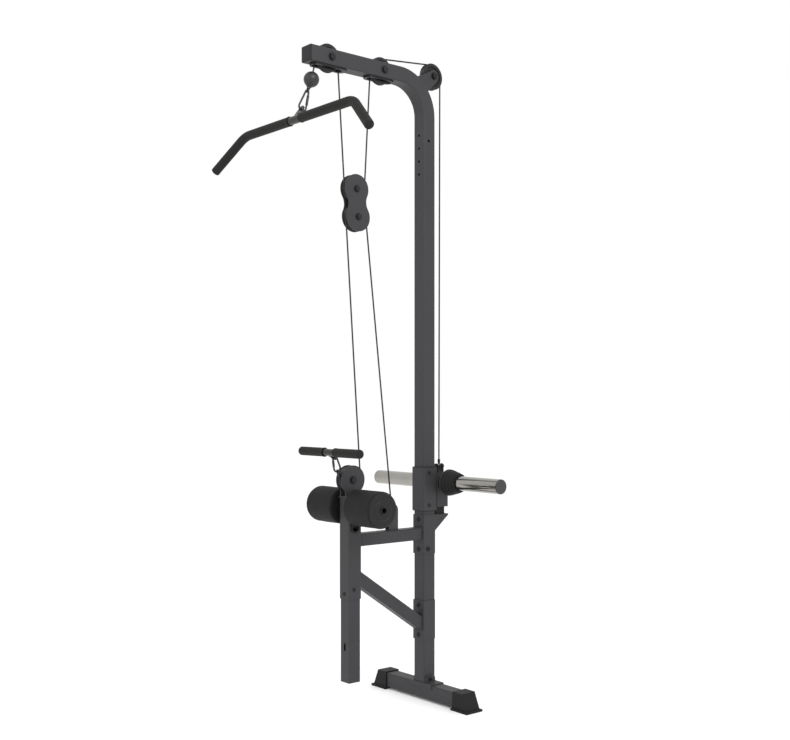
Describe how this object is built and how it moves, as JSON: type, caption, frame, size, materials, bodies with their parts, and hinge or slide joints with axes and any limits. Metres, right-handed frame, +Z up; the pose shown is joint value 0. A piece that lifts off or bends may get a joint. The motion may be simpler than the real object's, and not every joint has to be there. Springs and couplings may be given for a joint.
{
  "type": "lat pulldown machine",
  "caption": "Plate-loaded lat pulldown tower that bolts to a bench: bent upright and arm, sliding weight carriage, cables and pulleys, thigh rollers, lat bar and low handle.",
  "frame": {"origin": "on the floor, at the centre of the object's footprint box", "axes": "+Z up; -Y is the front, the side the arm and the leg reach towards; +X is the user's left-to-right axis seen from the front"},
  "size_m": [0.8396, 0.675, 2.1288],
  "materials": {
    "grey_powder_coat": "satin, fine-textured powder coat",
    "black_rubber": "matte",
    "black_plastic": "satin",
    "grey_plastic": "satin",
    "pulley_nylon": "satin moulded",
    "bearing_steel": "brushed",
    "dark_bolts": "black zinc",
    "block_paint": "satin powder coat",
    "chrome_steel": "polished",
    "bar_steel": "dark plated, fine brushed",
    "hook_steel": "zinc plated",
    "ball_rubber": "satin",
    "grip_rubber": "matte",
    "roller_foam": "closed-cell foam with a fine skin",
    "cable_coat": "coated wire rope"
  },
  "bodies": {
    "frame": {"base_tube": "grey_powder_coat", "base_feet": "black_rubber", "base_saddle": "grey_powder_coat", "upright": "grey_powder_coat", "arm_end_cap": "black_plastic", "arm_slot_guards": "black_plastic", "rear_pulley_ears": "grey_powder_coat", "upper_clamp": "grey_powder_coat", "lower_clamp": "grey_powder_coat", "leg_strut": "grey_powder_coat", "diagonal_brace": "grey_powder_coat", "front_leg": "grey_powder_coat", "roller_bushes": "black_plastic", "low_pulley_bracket": "grey_powder_coat", "cable_anchor": "grey_powder_coat", "stop_bracket": "grey_powder_coat", "stop_bumper": "black_rubber", "roller_axle": "chrome_steel", "pulley_axles": "dark_bolts", "frame_bolts": "dark_bolts", "upper_cable_lead": "cable_coat", "upper_cable_loop": "cable_coat", "upper_cable_drop": "cable_coat", "lower_cable_loop": "cable_coat", "lower_cable_lead": "cable_coat"},
    "inner_leg": {"inner_leg": "grey_powder_coat"},
    "carriage": {"carriage_sleeve": "grey_powder_coat", "carriage_liners": "black_plastic", "carriage_bolts": "dark_bolts", "carriage_post_box": "grey_powder_coat", "weight_post": "chrome_steel", "post_caps": "grey_plastic", "post_flanges": "grey_powder_coat", "post_collar": "black_rubber", "cable_clevis": "grey_powder_coat"},
    "front_pulley": {"front_pulley": "pulley_nylon", "front_pulley_bearing": "bearing_steel"},
    "second_pulley": {"second_pulley": "pulley_nylon", "second_pulley_bearing": "bearing_steel"},
    "rear_pulley": {"rear_pulley": "pulley_nylon", "rear_pulley_bearing": "bearing_steel"},
    "low_pulley": {"low_pulley": "pulley_nylon", "low_pulley_bearing": "bearing_steel"},
    "floating_block": {"block_plates": "block_paint", "block_bolts": "dark_bolts"},
    "block_top_sheave": {"block_top_sheave": "pulley_nylon"},
    "block_bottom_sheave": {"block_bottom_sheave": "pulley_nylon"},
    "lat_cable_end": {"lat_stop_ball": "ball_rubber"},
    "lat_hook": {"lat_snap_hook": "hook_steel"},
    "lat_bar": {"lat_bar": "bar_steel", "lat_bar_grips": "grip_rubber"},
    "low_cable_end": {"low_cable_fitting": "hook_steel"},
    "low_hook": {"low_snap_hook": "hook_steel"},
    "low_handle": {"low_handle": "bar_steel", "low_handle_grips": "grip_rubber"},
    "left_roller": {"left_roller_foam": "roller_foam", "left_roller_caps": "black_plastic"},
    "right_roller": {"right_roller_foam": "roller_foam", "right_roller_caps": "black_plastic"}
  },
  "joints": [
    {"name": "leg_slide", "type": "slide", "parent": "frame", "child": "inner_leg", "axis": [0, 0, 1], "range_m": [-0.1, 0.03]},
    {"name": "carriage_slide", "type": "slide", "parent": "frame", "child": "carriage", "axis": [0, 0, 1], "range_m": [0, 0.9], "deforming": ["upper_cable_drop"]},
    {"name": "lat_pull", "type": "slide", "parent": "frame", "child": "lat_cable_end", "axis": [0, -0.2427, -0.9701], "range_m": [0, 0.9], "deforming": ["upper_cable_lead"]},
    {"name": "front_pulley_spin", "type": "hinge", "parent": "frame", "child": "front_pulley", "pos_m": [0, -0.16476, 2.062], "axis": [1, 0, 0], "continuous": true},
    {"name": "second_pulley_spin", "type": "hinge", "parent": "frame", "child": "second_pulley", "pos_m": [0, 0.04623, 2.062], "axis": [1, 0, 0], "continuous": true},
    {"name": "rear_pulley_spin", "type": "hinge", "parent": "frame", "child": "rear_pulley", "pos_m": [0, 0.26824, 2.085], "axis": [1, 0, 0], "continuous": true},
    {"name": "block_slide", "type": "slide", "parent": "frame", "child": "floating_block", "axis": [0, 0.0664, -0.9978], "range_m": [0, 0.25], "deforming": ["upper_cable_loop", "lower_cable_loop"]},
    {"name": "block_top_sheave_spin", "type": "hinge", "parent": "floating_block", "child": "block_top_sheave", "pos_m": [0, -0.05769, 1.6672], "axis": [1, 0, 0], "continuous": true},
    {"name": "block_bottom_sheave_spin", "type": "hinge", "parent": "floating_block", "child": "block_bottom_sheave", "pos_m": [0, -0.05184, 1.5794], "axis": [1, 0, 0], "continuous": true},
    {"name": "low_pulley_spin", "type": "hinge", "parent": "frame", "child": "low_pulley", "pos_m": [0, -0.07376, 0.745], "axis": [1, 0, 0], "continuous": true},
    {"name": "low_pull", "type": "slide", "parent": "frame", "child": "low_cable_end", "axis": [0, -0.2757, 0.9612], "range_m": [0, 0.5], "deforming": ["lower_cable_lead"]},
    {"name": "lat_hook_swing", "type": "hinge", "parent": "lat_cable_end", "child": "lat_hook", "pos_m": [0, -0.24132, 1.94296], "axis": [1, 0, 0], "range_deg": [-25, 35]},
    {"name": "lat_bar_tilt", "type": "hinge", "parent": "lat_hook", "child": "lat_bar", "pos_m": [0, -0.25822, 1.89548], "axis": [1, 0, 0], "range_deg": [-30, 40]},
    {"name": "low_hook_swing", "type": "hinge", "parent": "low_cable_end", "child": "low_hook", "pos_m": [0, -0.12484, 0.77799], "axis": [1, 0, 0], "range_deg": [-20, 20]},
    {"name": "low_handle_tilt", "type": "hinge", "parent": "low_hook", "child": "low_handle", "pos_m": [0, -0.13476, 0.81259], "axis": [1, 0, 0], "range_deg": [-30, 30]},
    {"name": "left_roller_spin", "type": "hinge", "parent": "frame", "child": "left_roller", "pos_m": [0, -0.07376, 0.6595], "axis": [1, 0, 0], "continuous": true},
    {"name": "right_roller_spin", "type": "hinge", "parent": "frame", "child": "right_roller", "pos_m": [0, -0.07376, 0.6595], "axis": [1, 0, 0], "continuous": true}
  ],
  "couplings": [
    {"joint": "lat_pull", "follows": "carriage_slide", "ratio": 1},
    {"joint": "front_pulley_spin", "follows": "carriage_slide", "rad_per_m": 25},
    {"joint": "second_pulley_spin", "follows": "carriage_slide", "rad_per_m": 25},
    {"joint": "rear_pulley_spin", "follows": "carriage_slide", "rad_per_m": 25},
    {"joint": "block_top_sheave_spin", "follows": "carriage_slide", "rad_per_m": -25},
    {"joint": "block_bottom_sheave_spin", "follows": "block_slide", "rad_per_m": 25},
    {"joint": "low_pulley_spin", "follows": "block_slide", "rad_per_m": -50},
    {"joint": "low_pull", "follows": "block_slide", "ratio": 2}
  ]
}
